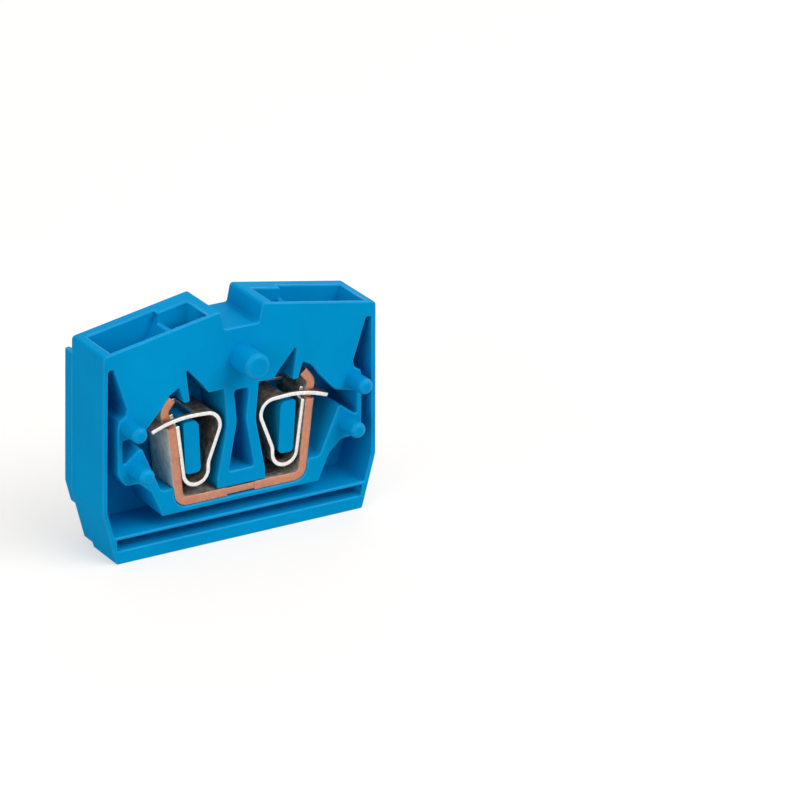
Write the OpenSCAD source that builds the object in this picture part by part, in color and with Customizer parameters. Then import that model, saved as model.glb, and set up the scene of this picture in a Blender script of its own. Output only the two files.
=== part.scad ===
// Two-conductor spring clamp terminal block, open on its stacking side.
// +X runs along the block, +Y towards its closed back, +Z up. The origin is on the base, in the middle
// of the block's length and of its stacking width. Heights are above the base.
// "Depth" is measured from the open face towards the closed back.

/* [Body] */
// Length between the two end faces
block_l = 28; // [26:0.5:36]
// Stacking width, from the open face to the closed back
block_w = 6; // [5:0.2:9]
// Height of the two crests beside the marker notch
block_h = 22.1; // [22:0.1:28]
// How much lower each end's shoulder is than the crest
shoulder_drop = 2.1; // [1:0.1:2.5]
// How far each end is drawn in at the base
end_taper = 1.35; // [0.5:0.05:2]
// Height at which the ends begin to draw in
taper_h = 5.2; // [4.5:0.1:6.5]
// How far each end is drawn in at its shoulder
end_draw = 0.2; // [0:0.05:0.3]
// Wall of the rim round the open face
rim_t = 0.5; // [0.4:0.05:0.7]
// Radius of the corner between an end face and the top
shoulder_r = 0.4; // [0.3:0.1:1]
// Wall at the back of the side pockets
back_t = 1.2; // [0.9:0.1:1.4]
// Wall at the back of the clamp chambers
clamp_back_t = 1.4; // [1.2:0.1:1.8]

/* [Marker notch] */
// Width of the notch at the crests
notch_w = 4.2; // [3:0.1:4.6]
// Depth of the notch below the crests
notch_d = 1.8; // [1:0.1:2]
// How much narrower the notch is at its floor
notch_draw = 0.7; // [0:0.1:1]

/* [Base] */
// Height of the floor of the side pockets
floor_z = 2.65; // [2.6:0.05:2.9]
// Underside of the slot that takes the neighbour's tongue
slot_z = 1.3; // [1:0.05:1.4]
// Height of that slot
slot_h = 1; // [0.8:0.05:1.1]
// Depth of that slot
slot_d = 2.7; // [2:0.1:3]
// Length of the wall that closes the slot at each end
slot_end = 1.45; // [1.2:0.05:1.8]
// Height of the relief under each rear corner
relief_h = 0.6; // [0.3:0.05:0.8]
// Length of that relief along the block
relief_l = 1; // [0.6:0.1:1.4]
// Reach of that relief from the closed back
relief_d = 1.7; // [1:0.1:3]

/* [Closed back] */
// How far the skirt stands out behind the block
skirt_d = 2.6; // [1.6:0.1:3]
// Wall of the skirt
skirt_t = 0.55; // [0.4:0.05:0.6]
// How far the skirt is set in from the end faces
skirt_inset = 0.7; // [0.65:0.05:0.75]
// Height of the skirt's top ends
skirt_top = 17.9; // [14:0.1:18]
// Height of the skirt's underside
skirt_z = 2.95; // [2.95:0.05:3.1]
// How far the tongue stands out behind the block
tongue_d = 2.4; // [1.5:0.1:2.6]
// Play between tongue and slot, above and below
tongue_play = 0.1; // [0.05:0.05:0.2]
// How much shorter the tongue is than the slot, at each end
tongue_short = 1.2; // [0.1:0.1:2]
// Width and length of the wedge that closes the neighbour's wire chamber
wedge_w = 1.9; // [1.4:0.1:2]
wedge_l = 3.4; // [2.4:0.1:3.6]
// Thickness of that wedge at its high end
wedge_h = 0.6; // [0.3:0.1:0.9]

/* [Pegs and sockets] */
// Diameter of the large peg on the open face
peg_d = 2.5; // [2:0.1:2.6]
// How far the large peg stands out
peg_l = 3; // [2:0.1:3.2]
// Height of the large peg
peg_z = 17.4; // [17.2:0.1:17.6]
// Diameter of the four small pegs
pin_d = 1.5; // [1.2:0.1:1.6]
// How far the small pegs stand out
pin_l = 2.5; // [1.5:0.1:2.6]
// Distance of the upper and lower small pegs from the end faces, and their heights
upper_pin_in = 2.55; // [2.5:0.05:2.7]
upper_pin_z = 13; // [12.9:0.1:13.1]
lower_pin_in = 3.25; // [3.1:0.05:3.4]
lower_pin_z = 8.9; // [8.7:0.1:9]
// Radial play between a peg and its socket
socket_play = 0.1; // [0.05:0.05:0.2]
// How much deeper a socket is than its peg is long
socket_over = 0.3; // [0.2:0.1:0.5]
// Lead-in chamfer on pegs
peg_chamfer = 0.25; // [0.1:0.05:0.3]

/* [Entries] */
// Thickness of the wall in front of the wire and screwdriver entries
face_t = 0.45; // [0.35:0.05:0.6]
// Thickness of the wall behind the wire entry
wire_back_t = 1.2; // [1:0.1:1.5]
// Thickness of the wall behind the screwdriver entry
driver_back_t = 1.9; // [1.6:0.1:2.2]
// Wall between the wire entry's mouth and the end face
mouth_wall = 0.95; // [0.8:0.05:1.2]
// Depth and inset of the lead-in at the mouth's outer end
mouth_lead_h = 1.1; // [0.5:0.1:1.5]
mouth_lead = 0.55; // [0.2:0.05:0.7]
// Clear width between the bar's leg and the wire entry's outer wall, where the wire is clamped
wire_gap = 2.65; // [2.5:0.05:2.7]
// Wall between the side pocket and the wire entry
pocket_wall = 0.6; // [0.5:0.05:0.7]
// Thickness of the partition between the two entries, at its tip and at its ridge
partition_t = 0.5; // [0.4:0.05:0.6]
// Height of the partition's lower tip, and its distance inside the bar's heel
partition_z = 14.1; // [14:0.05:14.3]
partition_in = 1.1; // [1:0.02:1.2]
// Depth of the partition's ridge below the top, and its distance inside the bar's heel
ridge_drop = 1; // [0.6:0.1:1.4]
ridge_in = 0.35; // [0.2:0.01:0.6]
// How far the partition bulges towards the wire, and how far below its ridge
bulge_w = 0.9; // [0.4:0.1:1.2]
bulge_h = 1.8; // [1:0.1:2.2]
// Half the width of the solid middle between the screwdriver entries
core_half = 3.3; // [3:0.1:3.5]

/* [Current bar] */
// Thickness of the copper strip
bar_t = 0.82; // [0.6:0.02:1]
// Height of the bar's underside
bar_z = 4.25; // [4.15:0.05:4.4]
// How far the bar's foot and legs lie behind the open face
bar_set = 0.06; // [0.03:0.01:0.15]
// Half the outer width of the bar at its underside, which is the place of its heels
bar_half = 6.6; // [6.5:0.02:6.7]
// Outward lean of the bar's legs
bar_lean = 6.3; // [5:0.1:8]
// Inside radius of the bar's folds
bar_fold_r = 0.45; // [0.3:0.05:0.8]
// Height above which each leg is cut back at its front edge, to pass through the spring's window
shank_z = 12; // [11.8:0.05:12.05]
// Height at which each leg kicks out, and its lean above it
kick_z = 12.05; // [12:0.05:12.2]
kick_lean = 22; // [18:1:26]
// Height of the fold at the top of each leg
bar_crook_z = 13.35; // [13.2:0.05:13.5]
// Inward lean and length of the lip above that fold
lip_lean = 40; // [34:1:44]
bar_lip = 1.4; // [1.1:0.05:1.6]
// Length of the pressed neck in the middle of the bar
neck_l = 2.8; // [2:0.1:3]
// How much is pressed away from each face and each edge of the neck
neck_face = 0.09; // [0.02:0.01:0.12]
neck_edge = 0.12; // [0.05:0.01:0.3]

/* [Clamp springs] */
// Thickness of the spring strip
spring_t = 0.36; // [0.25:0.01:0.45]
// Space between the spring's lower bend and the bar
spring_lift = 0.75; // [0.6:0.01:0.8]
// How much more the contact leg leans than the bar's leg it bears on
contact_splay = 1; // [0.5:0.1:1.5]
// Distance between the two legs at the lower bend
loop_w = 2.35; // [2:0.01:2.5]
// Height above the lower bend at which the free leg begins to lean
loop_neck = 1.85; // [1.6:0.05:2.1]
// Lean of the free leg
loop_lean = 20.9; // [18:0.1:22]
// Bend radius at the loop's upper corner, and where the free leg begins to lean
loop_r = 1.35; // [1.1:0.05:1.5]
loop_neck_r = 1.5; // [1:0.1:2]
// Height of the arm above the loop's upper corner
arm_z = 12.5; // [12.4:0.02:12.6]
// Rise of the arm before the bar, and its fall beyond it
arm_rise = 3; // [0:0.5:5]
arm_fall = 20; // [15:1:25]
// Radius of the curve between rise and fall
arm_r = 10; // [6:0.5:12]
// How much lower the arm's tip is than its start
tip_drop = 0.65; // [0.4:0.05:0.8]
// Width of the clamping bar beyond the window
clamp_bar = 1.25; // [1:0.05:1.4]
// Width of each rail beside the window
rail_w = 0.35; // [0.3:0.05:0.5]
// Distance of the window's inner end inside the bar's heel
window_in = 2.1; // [1.9:0.02:2.3]
// Height at which the contact leg narrows to its tongue
contact_step_z = 11.95; // [11.6:0.05:12]
// How much narrower the contact tongue is than the window, at each edge
contact_step = 0.35; // [0.2:0.05:0.6]

/* [Fits] */
// Gap between the bar and the housing round it
bar_play = 0.06; // [0.04:0.01:0.1]
// Gap between a spring and the bar where they bear on each other
seat_gap = 0.04; // [0.02:0.01:0.06]
// Gap between a spring's rails and the bar's edges
rail_play = 0.08; // [0.06:0.02:0.14]
// Gap between a spring's edges and the chamber's back
edge_play = 0.1; // [0.06:0.02:0.14]
// How far the springs lie behind the open face
spring_set = 0.2; // [0.15:0.01:0.3]

/* [Hidden] */
$fn = 48;

blue = "#0090d0";
copper = "#c8805c";
steel = "#c9ccd0";

// Turn of a curve per straight step, in degrees.
arc_step = 12;
// Overlap that keeps a cut open at a face.
past = 1;

half_l = block_l / 2;
open_y = -block_w / 2;
shoulder_z = block_h - shoulder_drop;

// Depths from the open face.
clamp_depth = block_w - clamp_back_t;
spring_w = clamp_depth - spring_set - edge_play;
window_w = spring_w - 2 * rail_w;
shank_depth = spring_set + rail_w + rail_play;
bar_depth = spring_set + rail_w + window_w - rail_play;
wire_depth = block_w - wire_back_t;
driver_depth = block_w - driver_back_t;

// Heading helpers, in the XZ plane.
function along(a) = [cos(a), sin(a)];
function across(a) = [-sin(a), cos(a)];
function flat(p) = [p[0], p[1]];
function heading(p, q) = atan2(q[1] - p[1], q[0] - p[0]);
function wrapped(a) = a - 360 * round(a / 360);

// A corner [x, z, r] between two neighbours, as points [x, z, heading] on an arc of radius r.
function corner(before, p, after) =
    let (
        a = heading(before, p),
        turn = wrapped(heading(p, after) - a),
        side = turn < 0 ? -1 : 1,
        steps = max(1, ceil(abs(turn) / arc_step)),
        start = flat(p) - p[2] * tan(abs(turn) / 2) * along(a),
        centre = start + side * p[2] * across(a)
    )
    [for (k = [0 : steps])
        let (b = a + turn * k / steps, q = centre - side * p[2] * across(b))
        [q[0], q[1], b]];

// A closed outline from corners [x, z, r]; a corner with r = 0 stays sharp.
function outline(c) =
    let (n = len(c))
    [for (i = [0 : n - 1])
        each c[i][2] == 0
            ? [flat(c[i])]
            : [for (q = corner(c[(i + n - 1) % n], c[i], c[(i + 1) % n])) flat(q)]];

// The centre line of a bent strip through corners [x, z, r], as points [x, z, heading].
function centre_line(c) =
    let (n = len(c), first = heading(c[0], c[1]), last = heading(c[n - 2], c[n - 1]))
    concat(
        [[c[0][0], c[0][1], first]],
        [for (i = [1 : n - 2]) each corner(c[i - 1], c[i], c[i + 1])],
        [[c[n - 1][0], c[n - 1][1], last]]);

// The closed outline of a strip of thickness t along corners c.
function strip(c, t) =
    let (line = centre_line(c), n = len(line))
    concat(
        [for (q = line) flat(q) + t / 2 * across(q[2])],
        [for (i = [n - 1 : -1 : 0]) flat(line[i]) - t / 2 * across(line[i][2])]);

function mirrored(c) = [for (i = [len(c) - 1 : -1 : 0]) [-c[i][0], c[i][1], c[i][2]]];

// Half the body's length at height z: greatest where the ends begin to draw in towards base and shoulder.
function end_x(z) =
    half_l - end_taper * max(0, 1 - z / taper_h)
    - end_draw * max(0, (z - taper_h) / (shoulder_z - taper_h));

// Height of the body's top at x, outside the notch.
function top_z(x) =
    block_h - shoulder_drop * (abs(x) - notch_w / 2) / (end_x(shoulder_z) - notch_w / 2);

// A surface inside the bar's right leg, "inward" from its outer face, at height z.
function leg_x(z, inward) = bar_half + (z - bar_z) * tan(bar_lean) - inward / cos(bar_lean);

// The same surface where the leg kicks out; the two centre lines meet at the height of the kick.
function kick_x(z, inward) =
    leg_x(kick_z, bar_t / 2) + (z - kick_z) * tan(kick_lean) + (bar_t / 2 - inward) / cos(kick_lean);

// Points given by their distance outside the bar's heel, as corners of an outline.
function from_heel(c) = [for (p = c) [bar_half + p[0], p[1], p[2]]];

// Extrudes a shape drawn in X and Z between two depths from the open face.
module between(from, to) {
    translate([0, open_y + to, 0])
        rotate([90, 0, 0])
            linear_extrude(to - from)
                children();
}

module both_ends() {
    children();
    mirror([1, 0, 0]) children();
}

// The spring's centre line: where its contact leg, lower bend, free leg and loop lie.
bar_top = bar_z + bar_t;
contact_inward = bar_t + seat_gap + spring_t / 2;
bend_z = bar_top + spring_lift + spring_t / 2;
contact_lean = bar_lean + contact_splay;
bend_x = leg_x(shank_z, contact_inward) - (shank_z - bend_z) * tan(contact_lean);
bend_r = loop_w / (1 + tan(45 - contact_lean / 2));
free_x = bend_x - loop_w;
loop_neck_z = bend_z + loop_neck;

// The contact leg's centre line.
function contact_x(z) = bend_x + (z - bend_z) * tan(contact_lean);

// The free leg's centre line above the height at which it begins to lean.
function free_leg_x(z) = free_x - (z - loop_neck_z) * tan(loop_lean);

// Outer outline of the moulding, one half; the other half is its mirror.
body_half = [
    [end_x(0), 0, 0.25],
    [half_l, taper_h, 0.6],
    [end_x(shoulder_z), shoulder_z, shoulder_r],
    [notch_w / 2, block_h, 0.35],
    [notch_w / 2 - notch_draw / 2, block_h - notch_d, 0.25]
];

// The wire entry's outer wall, from its mouth's lead-in down to where the wire is clamped.
mouth_x = end_x(shoulder_z) - mouth_wall;
entry_top = [mouth_x - mouth_lead, shoulder_z - mouth_lead_h];
entry_low_z = 12.3;
entry_low = [leg_x(entry_low_z, 0) + wire_gap, entry_low_z];
entry_slope = (entry_top[0] - entry_low[0]) / (entry_top[1] - entry_low[1]);
function entry_x(z) = entry_low[0] + (z - entry_low[1]) * entry_slope;

// The side pocket inside the rim, which takes the neighbour's skirt and runs on under the bar's ledge.
// Its inner side follows the wire entry, then the web that carries the small pegs.
skirt_play = 0.3;
ledge_t = 0.5;
ledge_z = bar_z - bar_play - ledge_t;
pocket_x = half_l - skirt_inset - skirt_t - skirt_play;
pocket_top = skirt_top + 0.75;
knee_z = upper_pin_z + 1.7;
web_low = lower_pin_z - 1.5;
ledge_foot = [1.42, 2.52, 3.72];
ledge_top_z = 6.2;
pocket_half = concat(
    [
        [end_x(floor_z) - rim_t, floor_z, 0.15],
        [half_l - rim_t, taper_h, 0.6],
        [end_x(pocket_top) - rim_t, pocket_top, 0.25],
        [entry_x(pocket_top) + pocket_wall, pocket_top, 0.2],
        [entry_x(knee_z) + pocket_wall, knee_z, 0.25],
        [entry_x(knee_z) + pocket_wall + 0.1, knee_z - 0.65, 0.2],
        [pocket_x - 0.15, knee_z - 1.05, 0.15],
        [pocket_x, knee_z - 1.7, 0.3],
        [pocket_x, web_low + 1.1, 0.4],
        [pocket_x - 0.75, web_low, 0.4]
    ],
    from_heel([
        [ledge_foot[2], web_low - 0.1, 0.4],
        [ledge_foot[1], ledge_top_z, 0.2],
        [ledge_foot[0], ledge_z, 0.25]
    ]));

// The clamp chamber: below the plate in front of the entries, round the bar and the spring, and out
// past the bar's leg into the wire chamber and the gap that the spring's arm opens into.
plate_z = 14.6;
chamber_floor = 6.14;
pillar_w = 0.5;
gap_x = pocket_x - pillar_w;
gap_low_z = 9.35;
gap_high_z = 11.7;
partition_x = bar_half - partition_in;
// The tops of the two notches in the plate's edge, in front of the wire and the screwdriver entry.
wire_notch = [-0.3, 15.65];
driver_notch = [-1, 17.3];
rib_gap = 0.57;
rib_foot_gap = 0.82;
rib_neck = [free_leg_x(11.1) - rib_gap, 11.1];
rib_foot = [free_x - rib_foot_gap, 6.1];
rib_top_x = rib_neck[0] + 0.32;
chamber_half = concat(
    [
        [0, bar_z - bar_play, 0],
        [bar_half + bar_play, bar_z - bar_play, bar_fold_r + bar_t],
        [leg_x(chamber_floor, -bar_play), chamber_floor, 0],
        [leg_x(chamber_floor, 0) + 1.3, chamber_floor, 0.6]
    ],
    from_heel([[3.5, 10.8, 0.3]]),
    [
        [gap_x, gap_low_z, 0.2],
        [gap_x, gap_high_z, 0.2]
    ],
    // The plate's edge outside the bar, up to the wire notch.
    from_heel([
        [3.1, 12.25, 0.4],
        [2.6, 12.75, 0.4],
        [1.4, 14.05, 0.5],
        [0.65, 15.1, 0.4],
        [wire_notch[0], wire_notch[1], 0.1]
    ]),
    [
        [partition_x + 0.3, partition_z, 0.2],
        [partition_x - 0.3, partition_z, 0.2],
        [bar_half + driver_notch[0], driver_notch[1], 0.1],
        [core_half + 0.6, plate_z + 0.8, 0.4],
        [core_half, plate_z, 0.3],
        [rib_top_x, plate_z, 0],
        [rib_neck[0], rib_neck[1], 2.5],
        [rib_foot[0], rib_foot[1], 0.4],
        [rib_foot[0], bar_top + bar_play, 0],
        [0, bar_top + bar_play, 0]
    ]);
// Height above which the chamber is as deep as the springs need.
trench_z = bar_top + spring_lift - 0.15;

// The hollow inside the rib between the two clamps, by half its width at foot, neck and top.
rib_hollow_half = [1.28, 0.43, 0.75];
rib_hollow = [
    [rib_hollow_half[0], rib_foot[1] + 0.5, 0.2],
    [rib_hollow_half[1], rib_neck[1] + 0.2, 2.5],
    [rib_hollow_half[2], plate_z - 0.3, 0.3]
];

// The post that stands inside the spring's loop, beside the contact leg.
post_w = 1.55;
post_lean = 2.8;
post_in = 0.19;
post_set = 0.35;
post_foot_z = bend_z + 1.07;
post_head_z = arm_z - 0.43;
function post_x(z) = bend_x - post_in + (z - bend_z) * tan(post_lean);
post = [
    [post_x(post_foot_z) - post_w, post_foot_z, 0.45],
    [post_x(post_foot_z), post_foot_z, 0.4],
    [post_x(post_head_z), post_head_z, 0.3],
    [post_x(post_head_z) - post_w, post_head_z, 0.6]
];

// The wire entry and the screwdriver entry share one mouth and lead down either side of the partition.
ridge = [bar_half - ridge_in, top_z(bar_half - ridge_in) - ridge_drop];
wire_entry = [
    [ridge[0], block_h + past, 0],
    [mouth_x, block_h + past, 0],
    [mouth_x, shoulder_z, 0],
    [entry_top[0], entry_top[1], 0],
    [entry_low[0], entry_low[1], 0],
    [partition_x + partition_t / 2, partition_z - past, 0],
    [partition_x + partition_t / 2, partition_z, 0],
    [bar_half + wire_notch[0], wire_notch[1], 0],
    [ridge[0] + bulge_w, ridge[1] - bulge_h, 0],
    [ridge[0], ridge[1], 0]
];
driver_entry = [
    [core_half, block_h + past, 0],
    [core_half, partition_z, 0],
    [partition_x - partition_t / 2, partition_z, 0],
    [bar_half + driver_notch[0], driver_notch[1], 0],
    [ridge[0] - partition_t, ridge[1], 0],
    [ridge[0], ridge[1], 0],
    [ridge[0], block_h + past, 0]
];

// The skirt's outer and inner lines.
function skirt_line(inset, z0, z1) = [
    [end_x(z0) - inset, z0, 0.3],
    [half_l - inset, taper_h, 0.5],
    [end_x(z1) - inset, z1, 0]
];

module small_pegs() {
    both_ends() {
        translate([half_l - upper_pin_in, 0, upper_pin_z]) children();
        translate([half_l - lower_pin_in, 0, lower_pin_z]) children();
    }
}

// A round peg out of the open face, with a lead-in chamfer at its tip.
module peg(d, l) {
    translate([0, open_y, 0]) rotate([90, 0, 0]) {
        translate([0, 0, -past]) cylinder(d = d, h = l - peg_chamfer + past);
        translate([0, 0, l - peg_chamfer]) cylinder(d1 = d, d2 = d - 2 * peg_chamfer, h = peg_chamfer);
    }
}

// A blind round socket into the closed back, to take a peg of diameter d and length l.
module socket(d, l) {
    translate([0, open_y + block_w + past, 0])
        rotate([90, 0, 0])
            cylinder(d = d + 2 * socket_play, h = l + socket_over + past);
}

// The sloping pad on the back that closes the neighbour's wire chamber beside the bar.
module wedge() {
    wedge_z = 10.2;
    wedge_x = leg_x(wedge_z, 0) + 0.3 + wedge_w / 2;
    translate([wedge_x, open_y + block_w, wedge_z])
        rotate([0, bar_lean + 6, 0])
            translate([-wedge_w / 2, 0, 0])
                rotate([90, 0, 90])
                    linear_extrude(wedge_w)
                        polygon([
                            [-past / 2, -wedge_l / 2], [wedge_h / 3, -wedge_l / 2],
                            [wedge_h, wedge_l / 2], [-past / 2, wedge_l / 2]
                        ]);
}

module skirt() {
    between(block_w - past / 2, block_w + skirt_d)
        difference() {
            polygon(outline(concat(
                skirt_line(skirt_inset, skirt_z, skirt_top),
                mirrored(skirt_line(skirt_inset, skirt_z, skirt_top)))));
            polygon(outline(concat(
                skirt_line(skirt_inset + skirt_t, skirt_z + skirt_t, skirt_top + past),
                mirrored(skirt_line(skirt_inset + skirt_t, skirt_z + skirt_t, skirt_top + past)))));
        }
}

// The tongue that enters the neighbour's slot.
module tongue() {
    tongue_half = half_l - slot_end - tongue_short;
    between(block_w - past / 2, block_w + tongue_d)
        translate([-tongue_half, slot_z + tongue_play])
            square([2 * tongue_half, slot_h - 2 * tongue_play]);
}

module housing() {
    color(blue) {
        difference() {
            union() {
                between(0, block_w) polygon(outline(concat(body_half, mirrored(body_half))));
                skirt();
                tongue();
                both_ends() wedge();
            }
            // Side pockets, joined under the bar's ledge.
            between(-past, block_w - back_t)
                polygon(outline(concat(pocket_half, mirrored(pocket_half))));
            // Slot for the neighbour's tongue.
            between(-past, slot_d)
                translate([-(half_l - slot_end), slot_z]) square([2 * (half_l - slot_end), slot_h]);
            // Relief under the rear corners.
            both_ends()
                between(block_w - relief_d, block_w + past)
                    translate([end_x(0) - relief_l, -past]) square([relief_l + 2 * past, relief_h + past]);
            both_ends() {
                // Clamp chamber: shallow round the bar's foot, deep above it.
                between(-past, bar_depth + bar_play) polygon(outline(chamber_half));
                intersection() {
                    between(-past, clamp_depth) polygon(outline(chamber_half));
                    translate([0, open_y - 2 * past, trench_z]) cube([half_l, block_w + past, block_h]);
                }
                between(face_t, wire_depth) polygon(outline(wire_entry));
                between(face_t, driver_depth) polygon(outline(driver_entry));
            }
            between(-past, clamp_depth) polygon(outline(concat(rib_hollow, mirrored(rib_hollow))));
            translate([0, 0, peg_z]) socket(peg_d, peg_l);
            small_pegs() socket(pin_d, pin_l);
        }
        both_ends() between(post_set, block_w - back_t) polygon(outline(post));
        translate([0, 0, peg_z]) peg(peg_d, peg_l);
        small_pegs() peg(pin_d, pin_l);
    }
}

// Centre line of the bar's right half: lip, crook, kick, leg and foot.
bar_mid_z = bar_z + bar_t / 2;
crook = [kick_x(bar_crook_z, bar_t / 2), bar_crook_z];
fold_mid_r = bar_fold_r + bar_t / 2;
bar_half_line = [
    [crook[0] - bar_lip * sin(lip_lean), crook[1] + bar_lip * cos(lip_lean), 0],
    [crook[0], crook[1], fold_mid_r],
    [leg_x(kick_z, bar_t / 2), kick_z, fold_mid_r],
    [leg_x(bar_mid_z, bar_t / 2), bar_mid_z, fold_mid_r]
];

module current_bar() {
    color(copper)
        difference() {
            between(bar_set, bar_depth)
                polygon(strip(concat(bar_half_line, mirrored(bar_half_line)), bar_t));
            // The legs' front edges, cut back above the shank's shoulder.
            between(bar_set - past, shank_depth)
                translate([-half_l, shank_z]) square([block_l, block_h]);
            // The pressed neck: thinner and narrower than the rest of the strip.
            between(bar_set - past, bar_depth + past) {
                translate([-neck_l / 2, bar_z - past]) square([neck_l, past + neck_face]);
                translate([-neck_l / 2, bar_top - neck_face]) square([neck_l, past]);
            }
            between(bar_set - past, bar_set + neck_edge)
                translate([-neck_l / 2, bar_z - past]) square([neck_l, bar_t + 2 * past]);
            between(bar_depth - neck_edge, bar_depth + past)
                translate([-neck_l / 2, bar_z - past]) square([neck_l, bar_t + 2 * past]);
        }
}

// The right spring, from the top of its contact leg down, round the loop and out along the arm to the
// clamping bar.
loop_x = free_leg_x(arm_z);
tip_z = arm_z - tip_drop;
// Where the window's outer end bears on the kick of the bar's leg, with the arm's upper face.
seat_z = tip_z + clamp_bar * tan(arm_fall) + spring_t / 2 / cos(arm_fall);
seat_x = kick_x(seat_z, 0) + seat_gap;
tip_x = seat_x + clamp_bar;
// Where the rising and the falling stretch of the arm would meet.
arm_x = (tip_z + tip_x * tan(arm_fall) - arm_z + loop_x * tan(arm_rise)) / (tan(arm_rise) + tan(arm_fall));
spring_line = [
    [contact_x(contact_step_z), contact_step_z, 0],
    [bend_x, bend_z, bend_r],
    [free_x, bend_z, bend_r],
    [free_x, loop_neck_z, loop_neck_r],
    [loop_x, arm_z, loop_r],
    [arm_x, arm_z + (arm_x - loop_x) * tan(arm_rise), arm_r],
    [tip_x, tip_z, 0]
];
// The contact tongue follows the leg's kick up to the start of the fold above it.
tongue_top_z = bar_crook_z - fold_mid_r * tan((kick_lean + lip_lean) / 2) * cos(kick_lean);
tongue_turn_z = kick_z + (leg_x(kick_z, contact_inward) - kick_x(kick_z, contact_inward))
    / (tan(kick_lean) - tan(contact_lean));
contact_line = [
    [kick_x(tongue_top_z, contact_inward), tongue_top_z, 0],
    [kick_x(tongue_turn_z, contact_inward), tongue_turn_z, fold_mid_r],
    [contact_x(contact_step_z - spring_t), contact_step_z - spring_t, 0]
];

window_l = seat_x - bar_half + window_in;
window_z = contact_step_z + 0.07;

module clamp_spring() {
    color(steel) {
        difference() {
            between(spring_set, spring_set + spring_w) polygon(strip(spring_line, spring_t));
            // The window that the bar's leg and the contact tongue pass through.
            between(spring_set + rail_w, spring_set + rail_w + window_w)
                translate([bar_half - window_in, window_z])
                    square([window_l, past]);
        }
        between(spring_set + rail_w + contact_step, spring_set + rail_w + window_w - contact_step)
            polygon(strip(contact_line, spring_t));
    }
}

module right_clamp_spring() {
    clamp_spring();
}

module left_clamp_spring() {
    mirror([1, 0, 0]) clamp_spring();
}

housing();
current_bar();
left_clamp_spring();
right_clamp_spring();
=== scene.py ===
import math

import bmesh
import bpy
import numpy as np
from mathutils import Matrix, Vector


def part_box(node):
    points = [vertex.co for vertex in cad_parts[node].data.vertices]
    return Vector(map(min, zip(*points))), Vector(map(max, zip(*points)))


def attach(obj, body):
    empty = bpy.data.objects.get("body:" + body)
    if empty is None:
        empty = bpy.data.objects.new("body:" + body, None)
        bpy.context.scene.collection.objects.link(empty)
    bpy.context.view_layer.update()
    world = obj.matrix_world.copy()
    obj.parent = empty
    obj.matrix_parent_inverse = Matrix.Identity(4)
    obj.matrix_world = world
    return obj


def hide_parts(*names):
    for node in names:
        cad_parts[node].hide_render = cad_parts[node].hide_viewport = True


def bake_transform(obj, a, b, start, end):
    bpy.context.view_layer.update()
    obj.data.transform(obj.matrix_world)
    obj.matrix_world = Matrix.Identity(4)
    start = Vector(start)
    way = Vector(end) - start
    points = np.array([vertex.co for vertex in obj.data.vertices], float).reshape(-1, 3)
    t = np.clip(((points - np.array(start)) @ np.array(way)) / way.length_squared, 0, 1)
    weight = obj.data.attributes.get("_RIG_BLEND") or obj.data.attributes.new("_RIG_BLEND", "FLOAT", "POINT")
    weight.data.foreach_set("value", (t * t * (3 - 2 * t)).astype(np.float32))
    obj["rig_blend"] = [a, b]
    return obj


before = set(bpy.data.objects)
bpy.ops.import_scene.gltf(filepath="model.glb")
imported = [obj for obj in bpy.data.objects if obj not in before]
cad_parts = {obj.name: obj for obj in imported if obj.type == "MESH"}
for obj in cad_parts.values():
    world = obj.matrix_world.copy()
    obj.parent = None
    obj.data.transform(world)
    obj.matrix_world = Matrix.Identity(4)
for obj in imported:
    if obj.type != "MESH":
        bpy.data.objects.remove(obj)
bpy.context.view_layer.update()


# Housing: one body of blue polyamide, moulded in one shot with its pegs, sockets, ledges, posts and wire
# entries. The mould is finely eroded, so the skin is satin, and its outer edges leave the steel with a
# small round, glossier than the skin and a little paler as a painted highlight. The bar and the springs are
# pressed into it.
mm = 1e-3
body_half_w = 3 * mm
lowest_top = 19 * mm
housing_round = 0.16 * mm
housing_round_steps = 4
softest_edge = math.radians(20)
# The open face, the back and the top are parted at these places along the block, so that no flat face has
# a hole in it.
parted_at = (0, -3 * mm, 3 * mm, -6 * mm, 6 * mm, -8.5 * mm, 8.5 * mm, -11.1 * mm, 11.1 * mm)
weld_gap = 0.002 * mm
flat_turn = math.radians(0.4)
# A face looks roughly or squarely along an axis where its normal's part along that axis is larger than this.
roughly = 0.9
squarely = 0.99
face_slack = 0.1 * mm
proud_by = 0.01 * mm
flat_face_weight = 90

deep_blue = (0.0, 0.274, 0.59, 1)
pale_blue = (0.0, 0.32, 0.665, 1)
# The rounded edges' blues, a little paler than the skin's, are a painted highlight along the edges.
edge_highlight_deep_blue = (0.0, 0.28, 0.6, 1)
edge_highlight_pale_blue = (0.0, 0.33, 0.68, 1)
cloud_sizes = (5 * mm, 5 * mm, 7 * mm)
cloud_span = (0.3, 0.7)
cloud_share = 0.8
cloud_roughness = 0.06
grain_sizes = (0.16 * mm, 0.16 * mm, 0.16 * mm)
grain_roughness = 0.1
grain_height = 0.008 * mm


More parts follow.
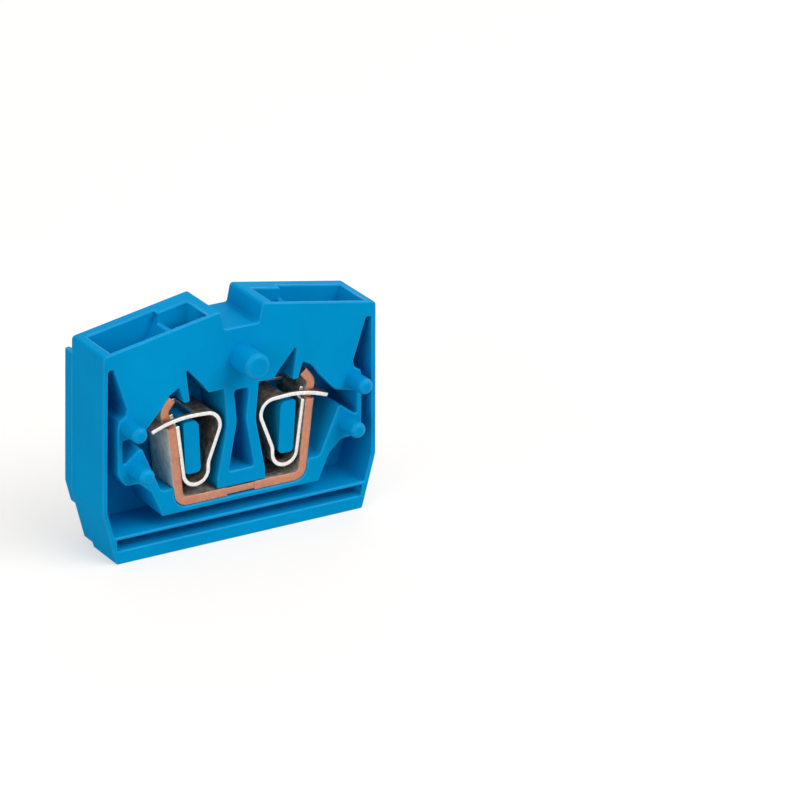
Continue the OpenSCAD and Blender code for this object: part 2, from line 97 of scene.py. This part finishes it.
class Wire:
    """A socket of a material's nodes; sums and products of such sockets and numbers add Math nodes."""

    def __init__(self, tree, socket=None):
        self.tree = tree
        self.socket = socket

    def node(self, kind, settings=(), values=(), out=0):
        """Adds a node: first its settings, such as an operation, then the values or links of its sockets."""
        made = self.tree.nodes.new("ShaderNode" + kind)
        for name, value in dict(settings).items():
            setattr(made, name, value)
        for name, value in dict(values).items():
            if isinstance(value, Wire):
                self.tree.links.new(value.socket, made.inputs[name])
            else:
                made.inputs[name].default_value = value
        return Wire(self.tree, made.outputs[out])

    def maths(self, operation, first, second=0.0, clamped=False):
        """Adds a Math node on two sockets or numbers, its result held between 0 and 1 where it is clamped."""
        settings = {"operation": operation, "use_clamp": clamped}
        return self.node("Math", settings, {0: first, 1: second})

    def __add__(self, other):
        return self.maths("ADD", self, other)

    def __sub__(self, other):
        return self.maths("SUBTRACT", self, other)

    def __mul__(self, other):
        return self.maths("MULTIPLY", self, other)

    def __rsub__(self, other):
        return self.maths("SUBTRACT", other, self)

    __radd__ = __add__
    __rmul__ = __mul__

    def between(self, low, high):
        """0 where the value is at low or under, 1 at high or over, and straight between them."""
        return self.maths("MULTIPLY", self - low, 1 / (high - low), clamped=True)

    def mixed(self, colour_a, colour_b):
        """A colour, from colour_a where this value is 0 to colour_b where it is 1."""
        return self.node("Mix", {"data_type": "RGBA"}, {0: self, 6: colour_a, 7: colour_b}, out=2)

    def stretched(self, sizes):
        """These coordinates in units of one size per axis, so that a noise on them is that long each way."""
        by = tuple(1 / size for size in sizes)
        return self.node("VectorMath", {"operation": "MULTIPLY"}, {0: self, 1: by})

    def noise(self, sizes, detail=3.0, roughness=0.5):
        """Noise from 0 to 1 in lumps of the given sizes along the axes of these coordinates."""
        values = {"Vector": self.stretched(sizes), "Scale": 1.0, "Detail": detail, "Roughness": roughness}
        return self.node("TexNoise", {}, values)

    def relief(self, height):
        """The surface's normal where this value, from 0 to 1, stands for a relief of that height."""
        return self.node("Bump", {}, {"Height": self, "Distance": height, "Strength": 1.0})


def new_finish(name, constants):
    """A material of that name, its shader with the constants set on its own sockets, and an empty wire."""
    material = bpy.data.materials.new(name)
    material.use_nodes = True
    shader = material.node_tree.nodes["Principled BSDF"]
    for socket, value in constants.items():
        shader.inputs[socket].default_value = value
    return material, shader, Wire(material.node_tree)


def feed(shader, **wires):
    """Links wires to the shader's sockets by name, with _ for a space."""
    for name, wire in wires.items():
        wire.tree.links.new(wire.socket, shader.inputs[name.replace("_", " ")])


def satin_polyamide(name, deep, pale, rough, gloss):
    """Moulded polyamide: soft clouds of tone between two blues, and the fine grain of the eroded mould."""
    material, shader, start = new_finish(name, {"Specular IOR Level": gloss})
    place = start.node("TexCoord", out="Object")
    cloud = place.noise(cloud_sizes).between(*cloud_span)
    grain = place.noise(grain_sizes)
    feed(
        shader,
        Base_Color=(cloud_share * cloud + (1 - cloud_share) * grain).mixed(deep, pale),
        Roughness=rough + cloud_roughness * cloud + grain_roughness * (grain - 0.5),
        Normal=grain.relief(grain_height),
    )
    return material


def read(items, field, width, kind=float):
    """One field of all vertices, faces or corners of a mesh, as an array of that many columns."""
    values = np.empty(len(items) * width, dtype=kind)
    items.foreach_get(field, values)
    return values.reshape(-1, width) if width > 1 else values


def is_parted(face):
    """Whether a face lies in the plane of the open face or of the back, or belongs to the top."""
    off_plane = abs(abs(face.calc_center_median().y) - body_half_w)
    return face.normal.z > roughly or (abs(face.normal.y) > squarely and off_plane < weld_gap)


def parted_copy(node, name):
    """A node's mesh with its loose triangles merged and its flat faces made whole. The open face, the back
    and the top are parted across the block first, and keep those seams."""
    shell = bmesh.new()
    shell.from_mesh(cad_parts[node].data)
    bmesh.ops.remove_doubles(shell, verts=shell.verts, dist=weld_gap)
    for x in parted_at:
        flat = [f for f in shell.faces if is_parted(f)]
        around = [*flat, *(e for f in flat for e in f.edges), *(v for f in flat for v in f.verts)]
        once = list(dict.fromkeys(around))
        cut = bmesh.ops.bisect_plane(shell, geom=once, plane_co=(x, 0, 0), plane_no=(1, 0, 0))
        for part in cut["geom_cut"]:
            if isinstance(part, bmesh.types.BMEdge):
                part.seam = True
    bmesh.ops.dissolve_limit(
        shell, angle_limit=flat_turn, verts=shell.verts, edges=shell.edges, delimit={"SEAM"})
    mesh = bpy.data.meshes.new(name)
    shell.to_mesh(mesh)
    shell.free()
    return mesh


def edges_by_turn(mesh, outer):
    """Which edges turn outwards by more than the softest edge and border a face that is marked as outer, and
    which of the others turn that much: going into one face from an outward edge leads under the plane of
    the other, and the cosine of the turn is the product of the two faces' normals."""
    point = read(mesh.vertices, "co", 3)
    normal = read(mesh.polygons, "normal", 3)
    first = read(mesh.polygons, "loop_start", 1, int)
    count = read(mesh.polygons, "loop_total", 1, int)
    vertex = read(mesh.loops, "vertex_index", 1, int)
    face = np.repeat(np.arange(len(first)), count)
    following = np.arange(len(vertex)) + 1
    following[first + count - 1] = first
    one, two = np.argsort(read(mesh.loops, "edge_index", 1, int), kind="stable").reshape(-1, 2).T
    run = point[vertex[following[one]]] - point[vertex[one]]
    run = run / np.linalg.norm(run, axis=1)[:, None]
    sinks = (normal[face[two]] * np.cross(normal[face[one]], run)).sum(axis=1)
    outward = (sinks < -math.sin(softest_edge)) & (outer[face[one]] | outer[face[two]])
    level = (normal[face[one]] * normal[face[two]]).sum(axis=1)
    return outward, (level < math.cos(softest_edge)) & ~outward


def placed(name, mesh, *finishes):
    """An object for a mesh, smooth, with its materials in order."""
    for finish in finishes:
        mesh.materials.append(finish)
    mesh.shade_smooth()
    piece = bpy.data.objects.new(name, mesh)
    bpy.context.scene.collection.objects.link(piece)
    return piece


def rounded_edges(piece, outer, width, steps, edge_slot=-1):
    """Rounds a piece's outward edges to a width, and keeps its other edges crisp and its flat faces flat in
    the light."""
    weights = piece.data.attributes.new("bevel_weight_edge", "FLOAT", "EDGE")
    outward, crisp = edges_by_turn(piece.data, outer)
    weights.data.foreach_set("value", outward.astype(np.float32))
    piece.data.attributes.new("sharp_edge", "BOOLEAN", "EDGE").data.foreach_set("value", crisp)
    edges = piece.modifiers.new("rounded edges", "BEVEL")
    edges.width = width
    edges.segments = steps
    edges.limit_method = "WEIGHT"
    edges.use_clamp_overlap = False
    edges.material = edge_slot
    shading = piece.modifiers.new("flat faces", "WEIGHTED_NORMAL")
    shading.keep_sharp = True
    shading.weight = flat_face_weight


skin = satin_polyamide("satin_polyamide", deep_blue, pale_blue, rough=0.5, gloss=0.01)
# The rounded edges get a glossier finish, and their paler blues are a painted highlight.
glossy_edge_painted_highlight = satin_polyamide("polyamide_edge_gloss_and_painted_highlight", edge_highlight_deep_blue, edge_highlight_pale_blue, rough=0.32, gloss=0.1)
housing = placed("housing_moulding", parted_copy("housing", "housing_moulding"), skin, glossy_edge_painted_highlight)
face_y, face_z = read(housing.data.polygons, "center", 3)[:, 1:].T
turned = read(housing.data.polygons, "normal", 3)
in_open_face = (turned[:, 1] < -roughly) & (face_y < -body_half_w + face_slack)
in_back = (turned[:, 1] > roughly) & (face_y > body_half_w - face_slack)
in_top = (turned[:, 2] > roughly) & (face_z > lowest_top)
proud = abs(face_y) > body_half_w + proud_by
outside = in_open_face | in_back | in_top | proud
rounded_edges(housing, outside, housing_round, housing_round_steps, edge_slot=1)
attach(housing, "block")
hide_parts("housing")


# Current bar: one strip of copper, tinned on its rolled faces, cut to width, folded up at both ends and
# pressed to a neck in the middle. Its cut edges are bare copper with the marks of the shear. It lies on a
# ledge of the housing, and its legs carry the springs and take the wires.
bar_t = 0.82 * mm
bar_low = 4.25 * mm
bar_half = 6.6 * mm
bar_lean = math.radians(6.3)
bar_fold = 0.45 * mm
# Over the shank's shoulder the front edge is cut back; there the leg kicks outwards and folds in again.
shank_z = 12 * mm
shank_back = 0.57 * mm
kick_z = 12.05 * mm
kick_lean = math.radians(22)
crook_z = 13.35 * mm
lip_lean = math.radians(40)
lip_l = 1.4 * mm
neck_l = 2.8 * mm
neck_slope = 0.04 * mm
neck_thinner = 0.09 * mm
neck_narrower = 0.12 * mm
bar_front, bar_back = (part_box("current_bar")[k][1] for k in (0, 1))
bar_rounding = 0.05 * mm
strip_round_steps = 2
arc_turn = math.radians(5)
bar_station = 0.45 * mm
bar_lines_across = 9

# The dark end of the tin's tone, for its random stains and for the painted shade on the strip's upturned
# side.
tin_stain_and_shade = (0.06, 0.055, 0.045, 1)
tin_white = (0.97, 0.88, 0.74, 1)
copper_dark = (0.46, 0.19, 0.115, 1)
copper_light = (0.63, 0.3, 0.197, 1)
# Streaks and drag lines have sizes along the strip, across it and through its thickness. Stains and spots
# have sizes along the frame's axes.
streak_sizes = (2.4 * mm, 0.05 * mm, 1 * mm)
streak_height = 0.004 * mm
stain_sizes = (0.6 * mm, 0.6 * mm, 0.6 * mm)
stain_crispness = 0.65
stain_share = 0.7
stain_span = (0.36, 0.64)
stain_roughness = 0.12
rolled_detail = 4.0
side_blur = 0.05 * mm
drag_sizes = (0.07 * mm, 0.3 * mm, 1.5 * mm)
drag_height = 0.006 * mm
drag_roughness = 0.14
smooth_drag = 0.35
spot_sizes = (0.35 * mm, 0.35 * mm, 0.35 * mm)
spot_span = (0.3, 0.7)
# The tear of a cut edge begins near the middle of its thickness: how far it strays and blurs, as shares.
tear_stray = 0.3
tear_blur = 0.12
tear_roughness = 0.16


def leg_x(z, inward):
    """Where a face of the right leg lies at height z: so far inside its outer face, which leans outwards."""
    return bar_half + (z - bar_low) * math.tan(bar_lean) - inward / math.cos(bar_lean)


def kick_x(z, inward):
    """The same for the leg's top, which turns outwards about the middle of the strip at the kick."""
    middle = leg_x(kick_z, bar_t / 2) + (z - kick_z) * math.tan(kick_lean)
    return middle + (bar_t / 2 - inward) / math.cos(kick_lean)


def bent_line(corners):
    """A strip's middle line as rows of x, z and heading: straight runs, and at each inner corner (x, z, r)
    an arc of radius r that touches both runs, cut into equal turns."""
    corners = np.array(corners)
    runs = np.diff(corners[:, :2], axis=0)
    headings = np.arctan2(runs[:, 1], runs[:, 0])
    pieces = [[[*corners[0, :2], headings[0]]]]
    for (x, z, r), a, b in zip(corners[1:-1], headings[:-1], headings[1:]):
        turn = (b - a + math.pi) % (2 * math.pi) - math.pi
        side = math.copysign(1, turn)
        lead = r * math.tan(abs(turn) / 2)
        centre_x = x - lead * math.cos(a) - side * r * math.sin(a)
        centre_z = z - lead * math.sin(a) + side * r * math.cos(a)
        h = a + np.linspace(0, turn, 1 + max(1, math.ceil(abs(turn) / arc_turn)))
        arc = (centre_x + side * r * np.sin(h), centre_z - side * r * np.cos(h), h)
        pieces.append(np.stack(arc, axis=1))
    pieces.append([[*corners[-1, :2], headings[-1]]])
    line = np.concatenate(pieces)
    line[:, 2] = np.unwrap(line[:, 2])
    return line


def distance_along(line):
    """How far along the line each of its points lies."""
    return np.concatenate([[0], np.cumsum(np.hypot(*np.diff(line[:, :2], axis=0).T))])


def stations(line, spacing, extra):
    """Distances along a line at its own points, at the extra places, and no further apart than spacing."""
    fixed = np.unique(np.concatenate([distance_along(line), extra]).round(9))
    gaps = np.diff(fixed)
    cuts = np.maximum(1, np.ceil(gaps / spacing)).astype(int)
    part = np.arange(cuts.sum()) - np.repeat(np.cumsum(cuts) - cuts, cuts)
    s = np.repeat(fixed[:-1], cuts) + part * np.repeat(gaps / cuts, cuts)
    return np.append(s, fixed[-1])


def strip_mesh(name, line, s, y, half_t, kept, flipped=False):
    """A bent strip: the point (s, y) of a grid lies y across the middle line at s along it, once above it by
    half its thickness and once below. Cells that are not kept are left out, and walls close every border.
    Faces of the two sheets get material 0, and the walls, which are cut edges, material 1."""
    along = distance_along(line)
    x, z, h = (np.interp(s, along, line[:, k])[:, None] for k in range(3))
    rows, columns = y.shape
    sheets = []
    for side in (1, -1):
        lift = side * half_t[:, None]
        sheets.append(np.stack(np.broadcast_arrays(x - lift * np.sin(h), y, z + lift * np.cos(h)), axis=-1))
    points = np.concatenate([sheet.reshape(-1, 3) for sheet in sheets])
    strip = np.stack(np.broadcast_arrays(s[:, None], y, 0 * y), axis=-1).reshape(-1, 3)
    strip = np.concatenate([strip, strip])
    strip[:, 2] = np.concatenate([np.repeat(half_t, columns), np.repeat(-half_t, columns)])
    number = np.arange(rows * columns).reshape(rows, columns)
    below = rows * columns
    cell = np.stack([number[:-1, :-1], number[1:, :-1], number[1:, 1:], number[:-1, 1:]], axis=-1)
    top = cell[kept]
    bordered = np.pad(kept, 1)
    walls = []
    for start, end, step in ((0, 1, (0, -1)), (1, 2, (1, 0)), (2, 3, (0, 1)), (3, 0, (-1, 0))):
        beyond = bordered[1 + step[0]:rows + step[0], 1 + step[1]:columns + step[1]]
        edge = cell[kept & ~beyond]
        one, two = edge[:, start], edge[:, end]
        walls.append(np.stack([two, one, one + below, two + below], axis=1))
    faces = np.concatenate([top, top[:, ::-1] + below, *walls])
    used, faces = np.unique(faces, return_inverse=True)
    faces = faces.reshape(-1, 4)
    points, strip = points[used], strip[used]
    if flipped:
        points = points * (-1, 1, 1)
        faces = faces[:, ::-1]
    mesh = bpy.data.meshes.new(name)
    mesh.from_pydata(points, [], faces)
    cut = np.arange(len(faces)) >= 2 * len(top)
    mesh.polygons.foreach_set("material_index", cut.astype(np.int32))
    mesh.attributes.new("strip", "FLOAT_VECTOR", "POINT").data.foreach_set("vector", strip.ravel())
    return mesh


def rolled_metal(name, dark, light, rough, streak, bare, inner_painted_shade):
    """A rolled face: long streaks along the strip, which change its tone, its gloss and a fine relief. How
    bare the metal is, against its film of oxide, is one number for the whole face. The side of the strip
    that is turned up at its middle gets painted shade: its tone is pulled darker by the share that is given."""
    material, shader, start = new_finish(name, {"Metallic": bare})
    strip = start.node("Attribute", {"attribute_name": "strip"}, out="Vector")
    inside = strip.node("SeparateXYZ", {}, {0: strip}, out=2).between(-side_blur, side_blur)
    place = start.node("TexCoord", out="Object")
    streaks = strip.noise(streak_sizes, rolled_detail)
    stains = place.noise(stain_sizes, rolled_detail, stain_crispness)
    # Painted shade: the side turned up at the strip's middle is pulled darker by that share.
    tone = ((1 - stain_share) * streaks + stain_share * stains).between(*stain_span) - inner_painted_shade * inside
    feed(
        shader,
        Base_Color=tone.between(-inner_painted_shade, 1).mixed(dark, light),
        Roughness=rough + streak * (streaks - 0.5) + stain_roughness * (stains - 0.5),
        Normal=streaks.relief(streak_height),
    )
    return material


def sheared_metal(name, dark, light, rough, thickness):
    """A cut edge: burnished where the shear went in, torn and rougher beyond, with drag lines across it."""
    material, shader, start = new_finish(name, {"Metallic": 1.0})
    strip = start.node("Attribute", {"attribute_name": "strip"}, out="Vector")
    place = start.node("TexCoord", out="Object")
    height = strip.node("SeparateXYZ", {}, {0: strip}, out=2)
    drag = strip.noise(drag_sizes)
    spots = place.noise(spot_sizes)
    tear = height + tear_stray * thickness * (spots - 0.5)
    torn = tear.between(-tear_blur * thickness, tear_blur * thickness)
    feed(
        shader,
        Base_Color=(0.5 * drag + 0.5 * spots).between(*spot_span).mixed(dark, light),
        Roughness=rough + tear_roughness * torn + drag_roughness * (drag - 0.5),
        Normal=(drag * (smooth_drag + (1 - smooth_drag) * torn)).relief(drag_height),
    )
    return material


bar_mid = bar_low + bar_t / 2
fold_mid = bar_fold + bar_t / 2
crook_x = kick_x(crook_z, bar_t / 2)
right_half = [
    (leg_x(bar_mid, bar_t / 2), bar_mid, fold_mid),
    (leg_x(kick_z, bar_t / 2), kick_z, fold_mid),
    (crook_x, crook_z, fold_mid),
    (crook_x - lip_l * math.sin(lip_lean), crook_z + lip_l * math.cos(lip_lean), 0),
]
bar_line = bent_line([(-x, z, r) for x, z, r in right_half[::-1]] + right_half)
bar_far = distance_along(bar_line)
bar_middle = bar_far[-1] / 2
rightward = bar_line[:, 0] > 0
shank_s = np.interp(shank_z, bar_line[rightward, 1], bar_far[rightward]) - bar_middle
neck_s = neck_l / 2 + np.array([-neck_slope, neck_slope])
bar_steps = np.array([*neck_s, shank_s])
bar_s = stations(bar_line, bar_station, [*(bar_middle - bar_steps), *(bar_middle + bar_steps)])
in_neck = np.clip((neck_s[1] - abs(bar_s - bar_middle)) / (2 * neck_slope), 0, 1)[:, None]
bar_columns = np.append(bar_front, np.linspace(bar_front + shank_back, bar_back, bar_lines_across))
bar_y = np.clip(bar_columns, bar_front + neck_narrower * in_neck, bar_back - neck_narrower * in_neck)
shank_cells = abs((bar_s[1:] + bar_s[:-1]) / 2 - bar_middle) > shank_s
bar_kept = ~(shank_cells[:, None] & (np.arange(len(bar_columns) - 1) == 0))
bar_half_t = bar_t / 2 - neck_thinner * in_neck[:, 0]
bar_mesh = strip_mesh("copper_bar", bar_line, bar_s, bar_y, bar_half_t, bar_kept)
# The bar's upturned side, the foot's top and the legs' inner faces, is darkened as painted shade.
tinned = rolled_metal("tinned_face", tin_stain_and_shade, tin_white, rough=0.6, streak=0.2, bare=0.2, inner_painted_shade=1.6)
bare_copper = sheared_metal("bare_copper_edge", copper_dark, copper_light, rough=0.4, thickness=bar_t)
bar = placed("copper_bar", bar_mesh, tinned, bare_copper)
rounded_edges(bar, np.ones(len(bar_mesh.polygons), dtype=bool), bar_rounding, strip_round_steps)
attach(bar, "block")
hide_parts("current_bar")


# Clamp springs: two mirrored strips of spring steel, each bent to a loop round a post of the housing. One
# end stands against the bar's leg as a contact leg; the other runs on as an arm with a punched window,
# which the leg passes through, so that the window's far side draws the wire to the bar.
spring_t = 0.36 * mm
spring_lift = 0.75 * mm
contact_lean = bar_lean + math.radians(1)
loop_w = 2.35 * mm
loop_neck = 1.85 * mm
loop_neck_r = 1.5 * mm
loop_lean = math.radians(20.9)
loop_r = 1.35 * mm
arm_z = 12.5 * mm
arm_rise = math.radians(3)
arm_fall = math.radians(20)
arm_r = 10 * mm
tip_drop = 0.65 * mm
clamp_bar = 1.25 * mm
seat_gap = 0.04 * mm
rail_w = 0.35 * mm
window_in = 2.1 * mm
shoulder_z = 11.95 * mm
shoulder_w = 0.35 * mm
spring_rounding = 0.035 * mm
spring_station = 0.3 * mm
spring_lines_inside = 7
# Between these heights of its free leg the loop gives way when the clamp is opened.
still_z = 7.0 * mm
freed_z = 11.5 * mm
steel_dark = (0.022, 0.016, 0.011, 1)
steel_light = (0.26, 0.21, 0.155, 1)
edge_grey = (0.66, 0.66, 0.65, 1)
edge_white = (0.95, 0.95, 0.94, 1)

contact_in = bar_t + seat_gap + spring_t / 2
bend_z = bar_low + bar_t + spring_lift + spring_t / 2
bend_x = leg_x(shank_z, contact_in) - (shank_z - bend_z) * math.tan(contact_lean)
bend_r = loop_w / (1 + math.tan(math.pi / 4 - contact_lean / 2))
free_x = bend_x - loop_w
neck_z = bend_z + loop_neck
loop_x = free_x - (arm_z - neck_z) * math.tan(loop_lean)
tip_z = arm_z - tip_drop
seat_z = tip_z + clamp_bar * math.tan(arm_fall) + spring_t / 2 / math.cos(arm_fall)
seat_x = kick_x(seat_z, 0) + seat_gap
tip_x = seat_x + clamp_bar
up, down = math.tan(arm_rise), math.tan(arm_fall)
apex_x = (tip_z + tip_x * down - arm_z + loop_x * up) / (up + down)
tongue_z = crook_z - fold_mid * math.tan((kick_lean + lip_lean) / 2) * math.cos(kick_lean)
turn_out = leg_x(kick_z, contact_in) - kick_x(kick_z, contact_in)
turn_z = kick_z + turn_out / (math.tan(kick_lean) - math.tan(contact_lean))
spring_line = bent_line([
    (kick_x(tongue_z, contact_in), tongue_z, 0),
    (kick_x(turn_z, contact_in), turn_z, fold_mid),
    (bend_x, bend_z, bend_r),
    (free_x, bend_z, bend_r),
    (free_x, neck_z, loop_neck_r),
    (loop_x, arm_z, loop_r),
    (apex_x, arm_z + (apex_x - loop_x) * up, arm_r),
    (tip_x, tip_z, 0),
])
spring_far = distance_along(spring_line)
lowest = np.argmin(spring_line[:, 1])
rising = np.argmin(spring_line[:, 0])
shoulder_s = np.interp(-shoulder_z, -spring_line[:lowest, 1], spring_far[:lowest])
window_x = np.array([bar_half - window_in, seat_x])
window_s = np.interp(window_x, spring_line[rising:, 0], spring_far[rising:])
yield_s = np.interp([still_z, freed_z], spring_line[lowest:rising, 1], spring_far[lowest:rising])
spring_front, spring_back = (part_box("right_clamp_spring")[k][1] for k in (0, 1))
rails = [0, rail_w, rail_w + shoulder_w]
spring_y = np.concatenate([
    spring_front + np.array(rails),
    np.linspace(spring_front + rails[-1], spring_back - rails[-1], spring_lines_inside)[1:-1],
    spring_back - np.array(rails[::-1]),
])
spring_s = stations(spring_line, spring_station, [shoulder_s, *window_s])
cell_s = ((spring_s[1:] + spring_s[:-1]) / 2)[:, None]
cell_y = ((spring_y[1:] + spring_y[:-1]) / 2)[None, :]
edge_y = np.minimum(cell_y - spring_front, spring_back - cell_y)
whole = (cell_s > shoulder_s) | (edge_y > rails[2])
punched = (cell_s > window_s[0]) & (cell_s < window_s[1]) & (edge_y > rails[1])
spring_kept = whole & ~punched
spring_grid = np.broadcast_to(spring_y, (len(spring_s), len(spring_y)))
spring_half_t = np.full(len(spring_s), spring_t / 2)

strip_steel = rolled_metal(
    "rolled_spring_steel", steel_dark, steel_light, rough=0.5, streak=0.16, bare=0.25, inner_painted_shade=0.0)
bright_edge = sheared_metal("bright_spring_edge", edge_grey, edge_white, rough=0.38, thickness=spring_t)
for side, mirrored in (("right", False), ("left", True)):
    name = side + "_spring_strip"
    mesh = strip_mesh(name, spring_line, spring_s, spring_grid, spring_half_t, spring_kept, mirrored)
    spring = placed(name, mesh, strip_steel, bright_edge)
    rounded_edges(spring, np.ones(len(mesh.polygons), dtype=bool), spring_rounding, strip_round_steps)
    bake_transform(spring, "block", side + "_spring", start=(0, 0, still_z), end=(0, 0, freed_z))
    # How far each place goes with the arm depends on its distance along the strip, not on its height:
    # the contact leg and the lower bend stay, the free leg gives way, and the rest goes with the arm.
    along = read(mesh.attributes["strip"].data, "vector", 3)[:, 0]
    given = np.clip((along - yield_s[0]) / (yield_s[1] - yield_s[0]), 0, 1)
    mesh.attributes["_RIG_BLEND"].data.foreach_set("value", given * given * (3 - 2 * given))
    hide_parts(side + "_clamp_spring")


# Studio: a table of white paper in an even pale room, and four soft lamps: a key from the upper right
# front, one from the left, a small one overhead and a weak one behind. The camera looks from the
# photograph's place, with a long lens.
floor_half = 3.0
paper_white = (0.52, 0.5, 0.47, 1)
paper_rough = 0.9
# What the table adds where it is seen as the background, so that it comes out white.
paper_glow = (0.525, 0.525, 0.525, 1)
no_glow = (0, 0, 0, 1)
even_light = 0.42
lamp_far = 1.2
lamp_aim = np.array([0, 0, 0.011])
# Each lamp's way from the block, the width of its face in metres and its power in watts.
lamps = {
    "key_lamp": ((0.36, -0.6, 0.7), 0.97, 9.5),
    "side_lamp": ((-0.92, -0.32, 0.22), 0.97, 7.4),
    "top_lamp": ((0.48, -0.2, 0.85), 0.29, 0.8),
    "back_lamp": ((0.4, 0.8, 0.45), 0.97, 3.0),
}
view_turn, view_tilt, view_roll = np.radians([-31.7277, 22.7631, 0.9532])
view_place = np.array([-193.292, -342.262, 177.245]) * mm
lens_mm = 215.013
sensor_mm = 36.0
nearest_seen = 0.01
farthest_seen = 20.0


def background_rays(start):
    """1 on rays that show the background: those from the camera itself, in a gloss, or through something."""
    shown = start.node("LightPath", out="Is Camera Ray")
    for ray in ("Is Glossy Ray", "Is Transmission Ray"):
        shown = shown.maths("MAXIMUM", shown, start.node("LightPath", out=ray))
    return shown


floor_mesh = bpy.data.meshes.new("table")
corners = floor_half * np.array([(-1, -1, 0), (1, -1, 0), (1, 1, 0), (-1, 1, 0)])
floor_mesh.from_pydata(corners, [], [(0, 1, 2, 3)])
paper, shader, start = new_finish("white_paper", {
    "Base Color": paper_white,
    "Roughness": paper_rough,
    "Specular IOR Level": 0.0,
    "Emission Strength": 1.0,
})
feed(shader, Emission_Color=background_rays(start).mixed(no_glow, paper_glow))
table = bpy.data.objects.new("table", floor_mesh)
table.data.materials.append(paper)
bpy.context.scene.collection.objects.link(table)

room = bpy.data.worlds.new("room")
room.use_nodes = True
sky = room.node_tree.nodes["Background"]
sky.inputs["Color"].default_value = (1, 1, 1, 1)
feed(sky, Strength=even_light + (1 - even_light) * background_rays(Wire(room.node_tree)))
bpy.context.scene.world = room


def standing(back, right, place):
    """A placing whose own Z points back, its X right and its Y up, at a place."""
    rows = np.stack([right, np.cross(back, right), back, place], axis=1)
    return Matrix([*rows.tolist(), (0, 0, 0, 1)])


for name, (way, size, power) in lamps.items():
    lamp = bpy.data.objects.new(name, bpy.data.lights.new(name, "AREA"))
    lamp.data.size = size
    lamp.data.energy = power
    way = np.array(way) / np.linalg.norm(way)
    level = np.cross((0, 0, 1), way)
    lamp.matrix_world = standing(way, level / np.linalg.norm(level), lamp_aim + lamp_far * way)
    bpy.context.scene.collection.objects.link(lamp)

view_back = np.array([
    math.sin(view_turn) * math.cos(view_tilt),
    -math.cos(view_turn) * math.cos(view_tilt),
    math.sin(view_tilt),
])
view_level = np.array([math.cos(view_turn), math.sin(view_turn), 0])
view_right = view_level * math.cos(view_roll) + np.cross(view_back, view_level) * math.sin(view_roll)
camera = bpy.data.objects.new("camera", bpy.data.cameras.new("camera"))
camera.data.lens = lens_mm
camera.data.sensor_width = sensor_mm
camera.data.clip_start = nearest_seen
camera.data.clip_end = farthest_seen
camera.matrix_world = standing(view_back, view_right, view_place)
bpy.context.scene.collection.objects.link(camera)
bpy.context.scene.camera = camera
bpy.context.scene.view_settings.view_transform = "Standard"
